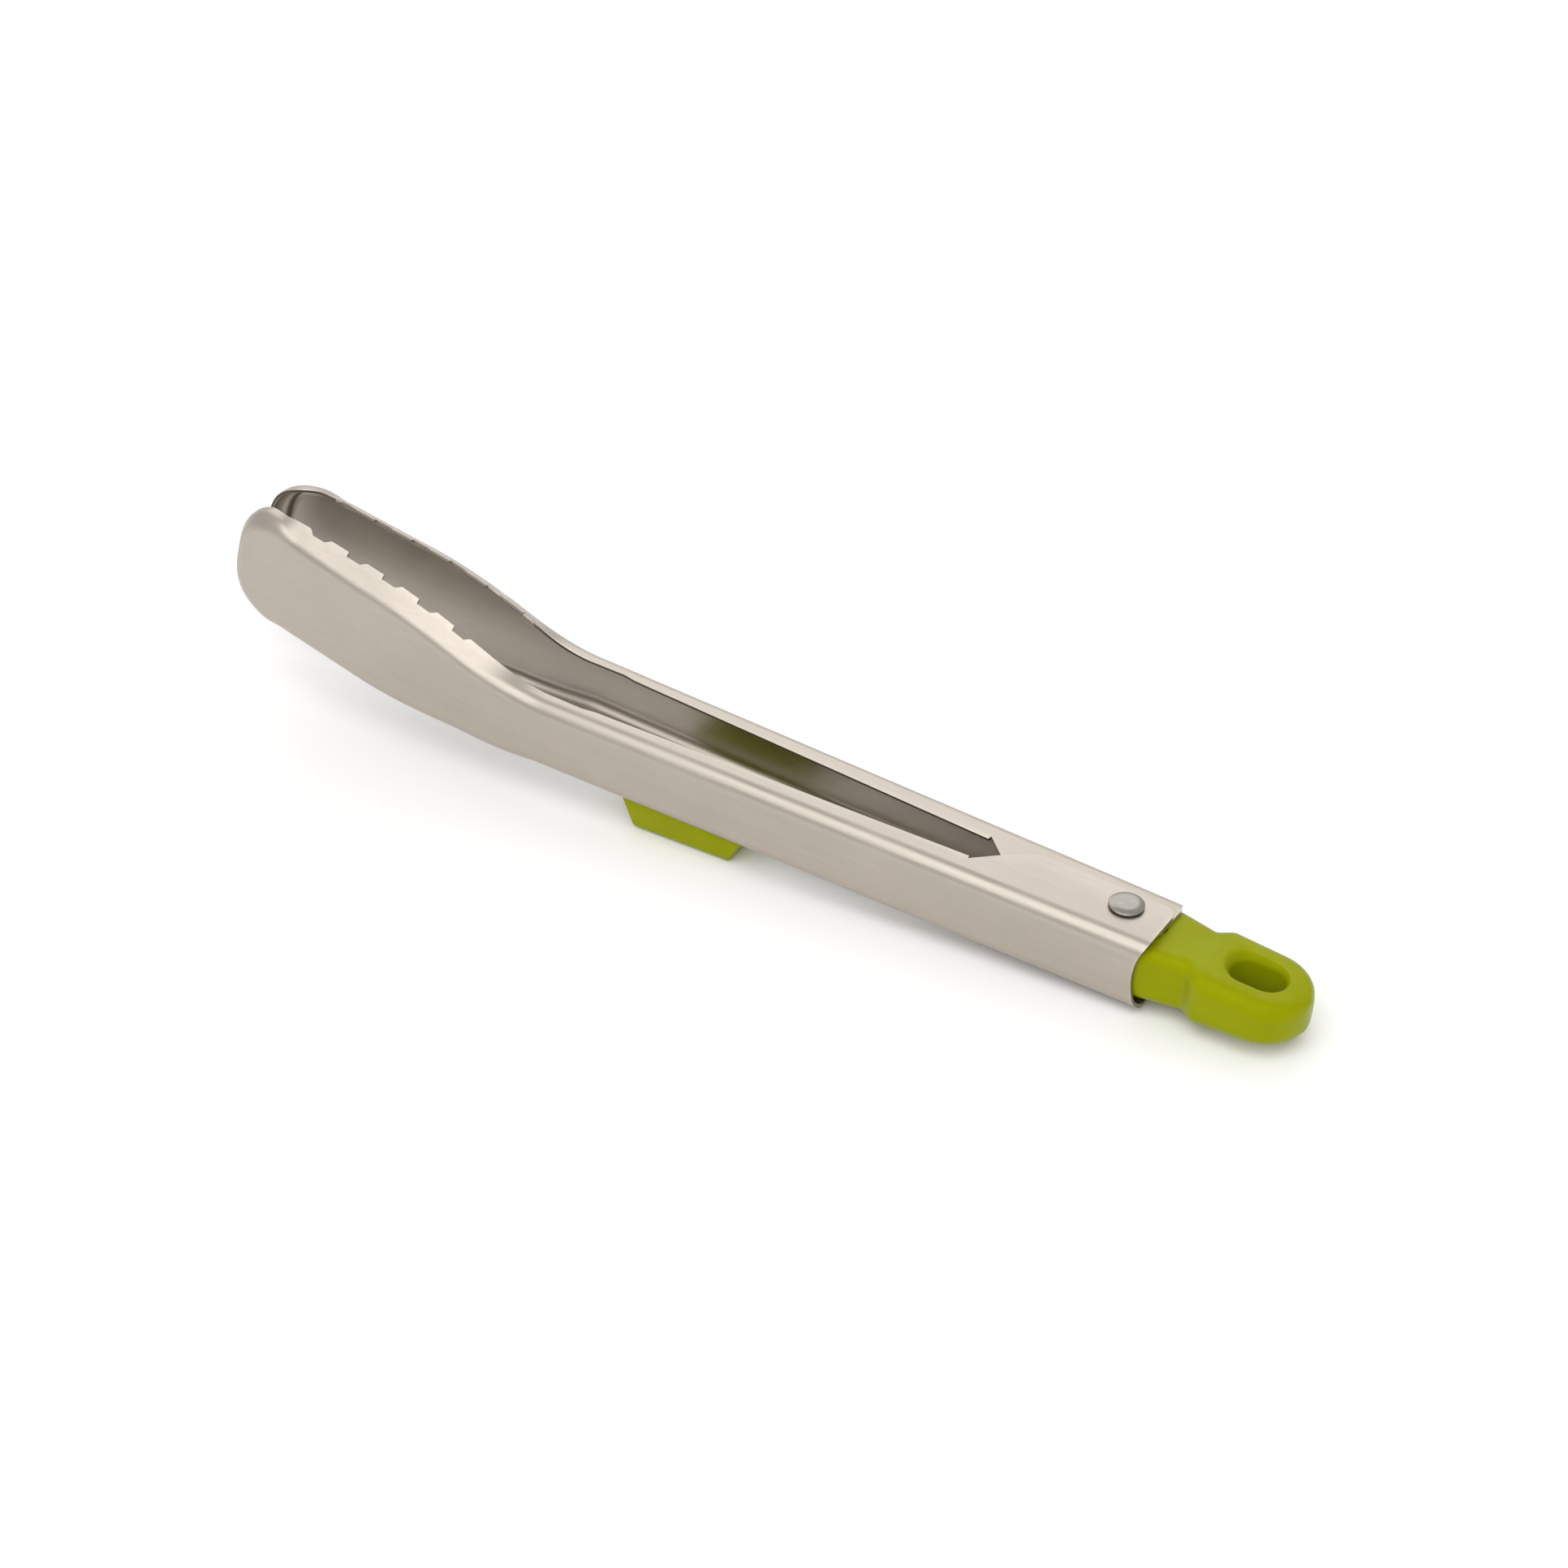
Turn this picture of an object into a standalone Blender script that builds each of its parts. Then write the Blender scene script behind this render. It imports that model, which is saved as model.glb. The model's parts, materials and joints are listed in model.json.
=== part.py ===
"""Spring loaded kitchen tongs with a pull lock and a tool rest.

The tongs lie on their side, closed and locked, nose up on the tool rest and the lower rivet head.
Everything is modelled in the tongs' own frame, in millimetres: X runs from the head (-X) to the
handle end (+X) with zero on the pivot, Z is the pivot axis, and Y is across the two arms, the
near arm at -Y and the far arm at +Y. One empty scales nothing: points are turned into metres when
a mesh is made, and the empty tilts and places the finished tongs on the ground.
"""

import math

import bmesh
import bpy
import numpy as np
from mathutils import Vector

MM = 0.001
GAP = 0.3  # clearance between pieces that touch on the real tongs

# Sheet and handle
SHEET = 1.0
HALF_HEIGHT = 11.4  # handle, outside of the near arm
HALF_WIDTH = 13.8  # outside of an arm's web, at the pivot
SPREAD = 0.018  # how fast each web leaves the centre plane towards the head
HANDLE_BEND = 4.5  # outer radius between web and flange
REAR_END = 12.5  # the arms reach this far behind the pivot

# Head
CANT = math.radians(10.0)  # the head turns up from the handle by this angle
CANT_START = 184.0  # distance from the pivot where that bend begins
CANT_LENGTH = 20.0
HEAD_START = 180.0
HEAD_FULL = 242.0  # distance from the pivot where the head is at its full height
HEAD_HALF_HEIGHT = 20.0
NOSE_START = 264.0
NOSE_END = 292.0
NOSE_POWER = 3.0  # superellipse power of the nose outline
NOSE_WEB = 5.0  # how far the web closes in from the widest place to the nose
HEAD_BEND = 4.0
HEAD_WALL = math.radians(55.0)  # turn of the side walls of the head, against 90 on the handle
NOSE_BEND = 5.5
NOSE_WALL = math.radians(90.0)
TIP_GAP = 5.4  # half of the gap between the closed tips

# Teeth of the head
TOOTH_PITCH = 13.05
TOOTH_CREST = 6.1
TOOTH_RAMP = 2.4
TOOTH_DROP = 0.25
TOOTH_DEPTH = 1.2
NEAR_TEETH = (5, 215.7)  # how many, and the distance of the first trailing corner from the pivot
FAR_TEETH = (6, 206.1)

# Flange edge: distance from the pivot, and how far the edge stays on its own side of the centre
FLANGE_EDGE = (
    (-12.5, -3.0), (-11.9, -4.9), (-10.9, -5.9), (-9.0, -6.5), (24.0, -6.5), (28.0, -6.3), (31.5, -5.1),
    (38.1, 0.0), (45.2, 6.7), (45.4, 5.6), (100.0, 7.8), (164.0, 10.4), (168.0, 11.1), (184.0, 11.0),
    (206.0, 10.8), (231.0, 10.0), (256.0, 8.7), (275.0, 8.0),
)
TIP_CLOSE_START = 276.0  # from here the rim closes in to the tip gap
TIP_CLOSE_END = 286.0

# Pivot
HOLE_RADIUS = 2.8
SHANK_RADIUS = 2.5
RIVET_HEAD_RADIUS = 5.0
RIVET_FLAT_RADIUS = 3.1
RIVET_RIM = 0.6
RIVET_CROWN = 1.15
BUSH_RADIUS = 3.7
WASHER_THICKNESS = 0.6
CLINCH_RADIUS = 3.6
CLINCH_HEIGHT = 0.6

# Spring
WIRE_RADIUS = 0.75
COIL_RADIUS = 5.0
COIL_TURNS = 3.5
COIL_PITCH = 1.9
LEG_END = (-38.0, 11.3)
END_ROOM = math.radians(12.0)  # the coil stops this far short of each leg

# Lock pull
PULL_FRONT = -12.0
PULL_WALL_FRONT = 2.0
MOUTH = 11.0
WAIST = 22.7
STEP_START = 23.6
STEP_END = 27.2
LOOP_CENTRE = 42.8
LOOP_RADIUS = 13.4
MOUTH_HALF_WIDTH = 12.1
WAIST_HALF_WIDTH = 10.0
NECK_HALF_HEIGHT = 8.6
WAIST_HALF_HEIGHT = 8.4
LOOP_HALF_HEIGHT = 8.5
LOOP_END_HALF_HEIGHT = 6.6
PULL_TRAVEL = 8.5
FORK_HALF_WIDTH = 9.4
CAVITY_HALF_WIDTH = 10.4
CAVITY_HALF_HEIGHT = 4.9
CAVITY_END = 15.2
SLOT_HALF_WIDTH = 4.05
SLOT_CENTRE = 8.6
HOLE_CENTRE = 40.3
HANG_HOLE = (7.9, 5.3)  # half length and half width inside
HANG_RIM = (9.3, 7.3)  # the same at the surface, past the chamfer
HANG_CHAMFER = 2.0

# Tool rest
REST_TOP = (-152.5, -113.9)
REST_BOTTOM = (-148.5, -116.9)
REST_SIDE = (-12.6, 9.0)
REST_TILT = 0.056  # slope of the ground in the tongs' frame

FAR_INSET = SHEET + GAP  # the far arm's handle fits inside the near arm's
INSET_START = 186.0
INSET_END = 212.0


def clear_scene():
    for thing in list(bpy.data.objects):
        bpy.data.objects.remove(thing, do_unlink=True)


def ease(value, start, end):
    """A smooth step from 0 at start to 1 at end."""
    t = min(max((value - start) / (end - start), 0.0), 1.0)
    return t * t * (3.0 - 2.0 * t)


def make_material(name, colour, roughness, metallic):
    material = bpy.data.materials.new(name)
    material.use_nodes = True
    shader = material.node_tree.nodes["Principled BSDF"]
    shader.inputs["Base Color"].default_value = (*colour, 1.0)
    shader.inputs["Roughness"].default_value = roughness
    shader.inputs["Metallic"].default_value = metallic
    return material


def add_object(name, mesh, parent, material=None):
    thing = bpy.data.objects.new(name, mesh)
    bpy.context.scene.collection.objects.link(thing)
    thing.parent = parent
    if material is not None:
        mesh.materials.append(material)
    return thing


def mesh_from(points, faces, name, smooth_angle=40.0):
    """A closed mesh in metres with its faces pointing out, smooth except at its sharp edges."""
    mesh = bpy.data.meshes.new(name)
    mesh.from_pydata([tuple(c * MM for c in p) for p in points], [], faces)
    bm = bmesh.new()
    bm.from_mesh(mesh)
    bmesh.ops.recalc_face_normals(bm, faces=bm.faces)
    bm.to_mesh(mesh)
    bm.free()
    mesh.shade_smooth()
    mesh.set_sharp_from_angle(angle=math.radians(smooth_angle))
    return mesh


def cut(target, cutter):
    """Takes the cutter away from the target."""
    cutter.hide_render = True
    cutter.display_type = "WIRE"
    modifier = target.modifiers.new(cutter.name, "BOOLEAN")
    modifier.operation = "DIFFERENCE"
    modifier.solver = "EXACT"
    modifier.object = cutter


# ---------------------------------------------------------------- simple solids


def loft(rings, name, smooth_angle=40.0):
    """A solid through rings of points, all of one length, closed at both ends."""
    count = len(rings[0])
    points = [p for ring in rings for p in ring]
    faces = [tuple(range(count))]
    for i in range(len(rings) - 1):
        for j in range(count):
            k = (j + 1) % count
            faces.append((i * count + j, i * count + k, (i + 1) * count + k, (i + 1) * count + j))
    faces.append(tuple((len(rings) - 1) * count + j for j in range(count)))
    return mesh_from(points, faces, name, smooth_angle)


def block(name, low, high):
    corners = [(low[1], low[2]), (high[1], low[2]), (high[1], high[2]), (low[1], high[2])]
    return loft([[(x, y, z) for y, z in corners] for x in (low[0], high[0])], name)


def turned(profile, name, segments=32):
    """A solid turned about Z from (radius, height) points; a radius of zero closes an end."""
    points = []
    rows = []
    for radius, height in profile:
        row = []
        if radius == 0.0:
            row = [len(points)] * segments
            points.append((0.0, 0.0, height))
        else:
            for j in range(segments):
                angle = 2.0 * math.pi * j / segments
                row.append(len(points))
                points.append((radius * math.cos(angle), radius * math.sin(angle), height))
        rows.append(row)
    if profile[0][0] != 0.0:
        rows.append(rows[0])
    faces = []
    for low, high in zip(rows, rows[1:]):
        for j in range(segments):
            k = (j + 1) % segments
            corners = []
            for corner in (low[j], low[k], high[k], high[j]):
                if corner not in corners:
                    corners.append(corner)
            faces.append(tuple(corners))
    return mesh_from(points, faces, name)


def wire(path, radius, name, sides=8):
    """A round wire along a list of points."""
    rings = []
    for i, here in enumerate(path):
        before = path[max(i - 1, 0)]
        after = path[min(i + 1, len(path) - 1)]
        along = (Vector(after) - Vector(before)).normalized()
        side = along.cross(Vector((0.0, 0.0, 1.0))).normalized()
        up = side.cross(along)
        ring = []
        for j in range(sides):
            angle = 2.0 * math.pi * j / sides
            ring.append(tuple(Vector(here) + radius * (math.cos(angle) * side + math.sin(angle) * up)))
        rings.append(ring)
    return loft(rings, name, smooth_angle=60.0)


def stadium(half_length, half_width, segments=12):
    """An oblong outline in X and Y with round ends."""
    straight = half_length - half_width
    points = []
    for end, start in ((1.0, -0.5 * math.pi), (-1.0, 0.5 * math.pi)):
        for j in range(segments + 1):
            angle = start + math.pi * j / segments
            points.append((end * straight + half_width * math.cos(angle), half_width * math.sin(angle)))
    return points


# ---------------------------------------------------------------- arms


def centre_line(s):
    """Where the arm's centre line is in X and Z, and its slope, at distance s from the pivot."""
    radius = CANT_LENGTH / CANT
    bent = min(max(s - CANT_START, 0.0), CANT_LENGTH)
    angle = bent / radius
    x = -(min(s, CANT_START) + radius * math.sin(angle))
    z = radius * (1.0 - math.cos(angle))
    past = max(s - CANT_START - CANT_LENGTH, 0.0)
    return x - past * math.cos(CANT), z + past * math.sin(CANT), angle


def half_height(s, inset):
    """Height of the rim above the centre line, before the nose rounds it off."""
    t = min(max((s - HEAD_START) / (HEAD_FULL - HEAD_START), 0.0), 1.0)
    rise = math.sin(0.5 * math.pi * t) ** 1.3
    nested = inset * (1.0 - ease(s, INSET_START, INSET_END))
    return HALF_HEIGHT + (HEAD_HALF_HEIGHT - HALF_HEIGHT) * rise - nested


def web_offset(s):
    """Distance of the web's outer face from the centre plane."""
    closing = max(s - HEAD_START - 10.0, 0.0) / (NOSE_END - HEAD_START - 10.0)
    return HALF_WIDTH + SPREAD * min(s, HEAD_START) - NOSE_WEB * closing**2.2


def tooth(s, teeth):
    """0 on a crest and 1 in a gap between teeth."""
    count, first = teeth
    place = (s - first) / TOOTH_PITCH
    if place < -0.5 or place > count - 0.5:
        return 0.0
    along = (s - first) % TOOTH_PITCH
    if along < TOOTH_CREST or (place < 0.0 and along < TOOTH_CREST + TOOTH_RAMP):
        return 0.0
    if along < TOOTH_CREST + TOOTH_RAMP:
        return (along - TOOTH_CREST) / TOOTH_RAMP
    return 0.0 if along > TOOTH_PITCH - 0.5 * TOOTH_DROP else 1.0


def rim_edge(s):
    """Distance of the flange or rim edge from the centre plane, on the crest of a tooth."""
    edge = float(np.interp(s, [p[0] for p in FLANGE_EDGE], [p[1] for p in FLANGE_EDGE]))
    return edge + (TIP_GAP - edge) * ease(s, TIP_CLOSE_START, TIP_CLOSE_END)


def arm_stations(teeth):
    """Distances from the pivot where the arm needs a section, up to the nose."""
    stations = [p[0] for p in FLANGE_EDGE if p[0] < NOSE_START]
    stations += [5.0, 72.0, 130.0, 176.0, 180.0, 188.0, 192.0, 196.0, 200.0]
    count, first = teeth
    for i in range(count):
        corner = first + i * TOOTH_PITCH
        stations += [corner - TOOTH_DROP, corner, corner + TOOTH_CREST, corner + TOOTH_CREST + TOOTH_RAMP]
    stations = sorted(s for s in stations if s < NOSE_START)
    spaced = [stations[0]]
    for s in stations[1:]:
        if s - spaced[-1] > 0.15:
            spaced.append(s)
    return spaced


def arm_outline(teeth, inset, nose_steps=14):
    """Upper outline of the arm from its rear end to the middle of the nose.

    Each entry is the distance s, the height v over the centre line, and the outward direction.
    """
    outline = []
    for s in arm_stations(teeth):
        slope = (half_height(s + 0.5, inset) - half_height(s - 0.5, inset)) / 1.0
        outward = Vector((-slope, 1.0)).normalized()
        outline.append((s, half_height(s, inset), outward))
    length = NOSE_END - NOSE_START
    for i in range(nose_steps + 1):
        angle = 0.5 * math.pi * i / nose_steps
        along = math.sin(angle) ** (2.0 / NOSE_POWER)
        up = max(math.cos(angle), 0.0) ** (2.0 / NOSE_POWER)
        if i == nose_steps:
            up = 0.0
        grow = Vector((along ** (NOSE_POWER - 1.0) / length, up ** (NOSE_POWER - 1.0) / HEAD_HALF_HEIGHT))
        outline.append((NOSE_START + length * along, HEAD_HALF_HEIGHT * up, grow.normalized()))
    return outline


def wall_profile(s, depth, notch, arc_steps=5):
    """Outer and inner section of the wall, as (outward, inward) pairs from the web to the edge.

    Outward is measured from the widest outline, inward from the web's outer face. A notch
    between teeth shortens the wall and leaves the bend where it is.
    """
    head = ease(s, 176.0, 208.0)
    nose = ease(s, NOSE_START + 6.0, NOSE_START + 21.0)
    turn = 0.5 * math.pi + (HEAD_WALL - 0.5 * math.pi) * head + (NOSE_WALL - HEAD_WALL) * nose
    radius = HANDLE_BEND + (HEAD_BEND - HANDLE_BEND) * head + (NOSE_BEND - HEAD_BEND) * nose
    straight = (depth - radius * (1.0 - math.cos(turn))) / math.sin(turn)
    start = -radius
    if turn < 0.5 * math.pi:
        start = -(radius * math.sin(turn) + straight * math.cos(turn))
    straight -= notch / math.sin(turn)
    outer = []
    inner = []
    for i in range(arc_steps + 1):
        phi = turn * i / arc_steps
        outer.append((start + radius * math.sin(phi), radius * (1.0 - math.cos(phi))))
        inner.append((start + (radius - SHEET) * math.sin(phi), radius - (radius - SHEET) * math.cos(phi)))
    edge = (outer[-1][0] + straight * math.cos(turn), outer[-1][1] + straight * math.sin(turn))
    outer.append(edge)
    inner.append((edge[0] - SHEET * math.sin(turn), edge[1] + SHEET * math.cos(turn)))
    return outer, inner


def arm_mesh(name, side, teeth, inset):
    """One pressed arm: web, walls and nose as a sheet of even thickness.

    The sheet is a grid: rows follow the outline from the rear end over the nose and back, and
    columns cross the wall from the web to its edge. Rows above and below share the web.
    """
    upper = arm_outline(teeth, inset)
    rows = [(s, v, out, 1.0) for s, v, out in upper]
    rows += [(s, v, out, -1.0) for s, v, out in reversed(upper[:-1])]
    points = []
    grids = ([], [])
    for s, v, outward, sign in rows:
        profile = wall_profile(s, web_offset(s) - rim_edge(s), TOOTH_DEPTH * tooth(s, teeth))
        for grid, section in zip(grids, profile):
            row = []
            for out, inward in section:
                along = s + out * outward[0]
                height = sign * (v + out * outward[1])
                x, z, angle = centre_line(along)
                row.append(len(points))
                points.append((
                    x + height * math.sin(angle),
                    side * (web_offset(along) - inward),
                    z + height * math.cos(angle),
                ))
            grid.append(row)
    faces = []
    last = len(rows) - 1
    for grid in grids:
        for low, high in zip(grid, grid[1:]):
            for j in range(len(low) - 1):
                faces.append((low[j], low[j + 1], high[j + 1], high[j]))
        for i in range(len(upper) - 1):
            corners = [grid[i][0], grid[i + 1][0], grid[last - i - 1][0], grid[last - i][0]]
            faces.append(tuple(dict.fromkeys(corners)))
    outer, inner = grids
    for i in range(last):
        faces.append((outer[i][-1], inner[i][-1], inner[i + 1][-1], outer[i + 1][-1]))
    for end in (0, last):
        for j in range(len(outer[end]) - 1):
            faces.append((outer[end][j], outer[end][j + 1], inner[end][j + 1], inner[end][j]))
    faces.append((outer[0][0], inner[0][0], inner[last][0], outer[last][0]))
    return mesh_from(points, faces, name, smooth_angle=30.0)


def make_arm(name, side, teeth, inset, parent, material):
    arm = add_object(name, arm_mesh(name, side, teeth, inset), parent, material)
    hole = turned([(0.0, -20.0), (HOLE_RADIUS, -20.0), (HOLE_RADIUS, 20.0), (0.0, 20.0)], name + "_hole")
    cut(arm, add_object(name + "_hole", hole, parent))
    recess_depth = 2.7
    recess_half = 11.2
    recess_radius = (recess_half**2 + recess_depth**2) / (2.0 * recess_depth)
    centre = REAR_END - recess_depth + recess_radius
    rings = []
    for y in (side * 9.0, side * 16.0):
        ring = []
        for j in range(48):
            angle = 2.0 * math.pi * j / 48
            ring.append((centre + recess_radius * math.cos(angle), y, recess_radius * math.sin(angle)))
        rings.append(ring)
    cut(arm, add_object(name + "_recess", loft(rings, name + "_recess"), parent))
    return arm


# ---------------------------------------------------------------- pivot and spring


def make_pivot(parent, steel, nylon):
    seat = HALF_HEIGHT + GAP
    low_seat = -(seat + WASHER_THICKNESS + GAP)
    rivet = [
        (0.0, low_seat - CLINCH_HEIGHT),
        (CLINCH_RADIUS - 0.4, low_seat - CLINCH_HEIGHT),
        (CLINCH_RADIUS, low_seat - 0.3),
        (CLINCH_RADIUS, low_seat),
        (SHANK_RADIUS, low_seat),
        (SHANK_RADIUS, seat),
        (RIVET_HEAD_RADIUS - 0.15, seat),
        (RIVET_HEAD_RADIUS, seat + 0.15),
        (RIVET_HEAD_RADIUS, seat + RIVET_RIM),
        (RIVET_HEAD_RADIUS - 0.3, seat + RIVET_RIM + 0.15),
        (RIVET_FLAT_RADIUS, seat + RIVET_CROWN),
        (0.0, seat + RIVET_CROWN),
    ]
    add_object("pivot_rivet", turned(rivet, "pivot_rivet"), parent, steel)
    washer = [
        (HOLE_RADIUS, -seat - WASHER_THICKNESS),
        (RIVET_HEAD_RADIUS, -seat - WASHER_THICKNESS),
        (RIVET_HEAD_RADIUS, -seat),
        (HOLE_RADIUS, -seat),
    ]
    add_object("rivet_washer", turned(washer, "rivet_washer"), parent, steel)
    reach = HALF_HEIGHT - FAR_INSET - SHEET - GAP - 0.1
    bush = [(HOLE_RADIUS, -reach), (BUSH_RADIUS, -reach), (BUSH_RADIUS, reach), (HOLE_RADIUS, reach)]
    add_object("pivot_bush", turned(bush, "pivot_bush", segments=24), parent, nylon)


def make_spring(parent, steel):
    """The torsion spring: a coil round the bush, and a leg that pushes on each arm."""
    rise = COIL_TURNS * COIL_PITCH
    sweep = 2.0 * math.pi * COIL_TURNS
    steps = 56
    coil = []
    for i in range(steps + 1):
        part = END_ROOM / sweep + (1.0 - 2.0 * END_ROOM / sweep) * i / steps
        angle = -0.5 * math.pi + sweep * part
        coil.append((COIL_RADIUS * math.cos(angle), COIL_RADIUS * math.sin(angle), rise * (part - 0.5)))
    add_object("spring_coil", wire(coil, WIRE_RADIUS, "spring_coil"), parent, steel)
    for name, side in (("spring_leg_near", -1.0), ("spring_leg_far", 1.0)):
        z = side * 0.5 * rise
        path = [
            (-0.3, side * COIL_RADIUS, z),
            (-4.0, side * (COIL_RADIUS + 0.2), z),
            (-9.0, side * (COIL_RADIUS + 1.0), z),
            (LEG_END[0], side * LEG_END[1], z),
        ]
        add_object(name, wire(path, WIRE_RADIUS, name), parent, steel)


# ---------------------------------------------------------------- lock pull


def pull_width(x):
    table_x = [PULL_FRONT, PULL_WALL_FRONT, MOUTH, WAIST, STEP_START]
    table_w = [MOUTH_HALF_WIDTH + 0.4, MOUTH_HALF_WIDTH + 0.4, MOUTH_HALF_WIDTH, WAIST_HALF_WIDTH, WAIST_HALF_WIDTH]
    neck = float(np.interp(x, table_x, table_w))
    return neck + (LOOP_RADIUS - neck) * ease(x, STEP_START, STEP_END)


def pull_height(x):
    neck = float(np.interp(x, [MOUTH, WAIST], [NECK_HALF_HEIGHT, WAIST_HALF_HEIGHT]))
    end = LOOP_CENTRE + LOOP_RADIUS
    loop = float(np.interp(x, [STEP_END, end], [LOOP_HALF_HEIGHT, LOOP_END_HALF_HEIGHT]))
    return neck + (loop - neck) * ease(x, STEP_START, STEP_END)


def rounded_section(x, half_width, half_height_z, radius, steps=4):
    """A rounded rectangle across the pull at x."""
    radius = min(radius, 0.98 * half_width, 0.98 * half_height_z)
    ring = []
    for cy, cz, start in ((1, 1, 0.0), (-1, 1, 0.5), (-1, -1, 1.0), (1, -1, 1.5)):
        for j in range(steps + 1):
            angle = math.pi * (start + 0.5 * j / steps)
            y = cy * (half_width - radius) + radius * math.cos(angle)
            z = cz * (half_height_z - radius) + radius * math.sin(angle)
            ring.append((x, y, z))
    return ring


def pull_body():
    """The neck and loop, through rounded sections that shrink round the loop's end."""
    rings = []
    for x in (PULL_FRONT, PULL_WALL_FRONT, MOUTH, WAIST, STEP_START, 24.6, 25.5, 26.4, STEP_END, 35.0):
        rings.append(rounded_section(x, pull_width(x), pull_height(x), 3.6))
    for i in range(12):
        angle = 0.5 * math.pi * i / 12
        x = LOOP_CENTRE + LOOP_RADIUS * math.sin(angle)
        shrink = 4.0 * (1.0 - math.sqrt(max(1.0 - (i / 12) ** 4, 0.0)))
        rings.append(rounded_section(x, LOOP_RADIUS * math.cos(angle), pull_height(x) - shrink, 3.6))
    return loft(rings, "lock_pull", smooth_angle=35.0)


def hang_hole():
    """Cutter for the hanging hole: straight in the middle, flared at both faces."""
    reach = LOOP_HALF_HEIGHT + 1.0
    flare = (HANG_RIM[0] - HANG_HOLE[0]) / HANG_CHAMFER
    rings = []
    for level in (-1, -0.5, 0.5, 1):
        if abs(level) == 1:
            z = level * reach
            extra = 1.6 * flare * HANG_CHAMFER
        else:
            z = math.copysign(5.7, level)
            extra = 0.0
        wide = extra * (HANG_RIM[1] - HANG_HOLE[1]) / (HANG_RIM[0] - HANG_HOLE[0])
        outline = stadium(HANG_HOLE[0] + extra, HANG_HOLE[1] + wide)
        rings.append([(HOLE_CENTRE + x, y, z) for x, y in outline])
    return loft(rings, "hang_hole")


def make_pull(parent, plastic):
    pull = add_object("lock_pull", pull_body(), parent, plastic)
    front = PULL_FRONT - 1.0
    cavity = block(
        "cavity",
        (front, -CAVITY_HALF_WIDTH, -CAVITY_HALF_HEIGHT),
        (CAVITY_END, CAVITY_HALF_WIDTH, CAVITY_HALF_HEIGHT),
    )
    cut(pull, add_object("cavity", cavity, parent))
    for name, low, high in (("trim_near", -20.0, -FORK_HALF_WIDTH), ("trim_far", FORK_HALF_WIDTH, 20.0)):
        cut(pull, add_object(name, block(name, (front, low, -20.0), (PULL_WALL_FRONT, high, 20.0)), parent))
    slot = stadium(SLOT_CENTRE - front + SLOT_HALF_WIDTH, SLOT_HALF_WIDTH)
    rings = [[(front + x, y, z) for x, y in slot] for z in (-20.0, 20.0)]
    cut(pull, add_object("fork_slot", loft(rings, "fork_slot"), parent))
    cut(pull, add_object("hang_hole", hang_hole(), parent))
    return pull


# ---------------------------------------------------------------- tool rest


def ground(x):
    """Height of the ground in the tongs' frame: it touches the lower rivet head."""
    touch = -(HALF_HEIGHT + GAP + WASHER_THICKNESS + GAP + CLINCH_HEIGHT)
    return touch + (x - (CLINCH_RADIUS - 0.4)) * REST_TILT


def make_rest(parent, plastic):
    """A moulding that clips over the near arm's lower flange: lug inside, foot below."""
    lug_top = HALF_HEIGHT - SHEET - GAP - 0.1
    flange_in = -(HALF_HEIGHT - SHEET) + GAP
    flange_out = -HALF_HEIGHT - GAP
    web = -(web_offset(-REST_TOP[1]) - SHEET - GAP - 0.1)
    near, far = REST_SIDE
    soft = 1.2
    rings = []
    for x in (REST_TOP[0], REST_BOTTOM[0], REST_BOTTOM[1], REST_TOP[1]):
        low = ground(x) if x in REST_BOTTOM else flange_out - 1.2
        shallow = min(soft, 0.4 * (flange_out - low))
        rings.append([
            (x, web, flange_in + 3.4),
            (x, web, lug_top - 3.4),
            (x, web + 1.0, lug_top - 1.0),
            (x, web + 3.4, lug_top),
            (x, -8.3, lug_top),
            (x, -8.3, -2.0),
            (x, -4.6, -2.6),
            (x, -4.6, flange_out),
            (x, far - shallow, flange_out),
            (x, far, flange_out - 0.5 * shallow),
            (x, far, low + shallow),
            (x, far - shallow, low),
            (x, near + shallow, low),
            (x, near, low + shallow),
            (x, near, flange_out),
            (x, -7.6, flange_out),
            (x, -7.6, flange_in),
            (x, web + 3.4, flange_in),
            (x, web + 1.0, flange_in + 1.0),
        ])
    return add_object("tool_rest", loft(rings, "tool_rest", smooth_angle=30.0), parent, plastic)


def place_on_ground(parent):
    """Tilts the tongs onto the ground and centres them over the origin."""
    parent.rotation_euler = (0.0, math.atan(REST_TILT), 0.0)
    bpy.context.view_layer.update()
    corners = []
    for thing in parent.children:
        if not thing.hide_render:
            corners += [thing.matrix_world @ v.co for v in thing.data.vertices]
    low_x = min(c.x for c in corners)
    high_x = max(c.x for c in corners)
    parent.location = (-0.5 * (low_x + high_x), 0.0, -min(c.z for c in corners))


def main():
    clear_scene()
    steel = make_material("brushed_steel", (0.55, 0.51, 0.46), 0.32, 1.0)
    rivet_steel = make_material("rivet_steel", (0.5, 0.48, 0.45), 0.25, 1.0)
    spring_steel = make_material("spring_steel", (0.42, 0.41, 0.4), 0.3, 1.0)
    green = make_material("green_plastic", (0.36, 0.4, 0.012), 0.42, 0.0)
    nylon = make_material("nylon", (0.8, 0.79, 0.75), 0.5, 0.0)
    tongs = bpy.data.objects.new("tongs", None)
    bpy.context.scene.collection.objects.link(tongs)
    make_arm("near_arm", -1.0, NEAR_TEETH, 0.0, tongs, steel)
    make_arm("far_arm", 1.0, FAR_TEETH, FAR_INSET, tongs, steel)
    make_pivot(tongs, rivet_steel, nylon)
    make_spring(tongs, spring_steel)
    make_pull(tongs, green)
    make_rest(tongs, green)
    place_on_ground(tongs)


main()
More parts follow.
